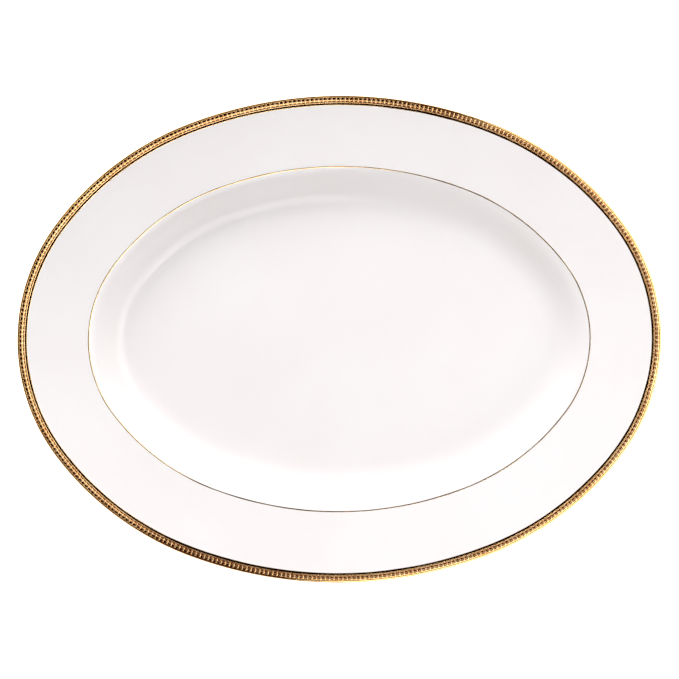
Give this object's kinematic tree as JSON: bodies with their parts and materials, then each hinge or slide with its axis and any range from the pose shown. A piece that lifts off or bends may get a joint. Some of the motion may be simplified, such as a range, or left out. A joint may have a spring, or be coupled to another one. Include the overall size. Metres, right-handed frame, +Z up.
{
  "type": "oval serving platter",
  "caption": "Oval bone-china serving platter with a sunk well, a broad rim, a foot ring and a border of raised gilded leaves.",
  "frame": {"origin": "on the table, at the middle of the foot ring", "axes": "+Z up out of the well, +X along the platter, +Y across it"},
  "size_m": [0.356, 0.2692, 0.0283],
  "materials": {
    "bone_china": "bare fired bone china, seen on the foot's wiped edge",
    "clear_glaze": "smooth clear glaze over white bone china",
    "burnished_gold": "burnished overglaze gold",
    "gold_ground": "plain gold ground between the leaves",
    "raised_gold": "gold over raised paste, softly burnished"
  },
  "bodies": {
    "root": {"china_body": "bone_china", "glaze_coat": "clear_glaze", "glaze_base": "clear_glaze", "gold_edge": "burnished_gold", "gold_ground": "gold_ground", "leaf_stem": "raised_gold", "outer_leaves": "raised_gold", "inner_leaves": "raised_gold", "gold_fillet": "burnished_gold", "verge_hairline": "burnished_gold"}
  },
  "joints": []
}
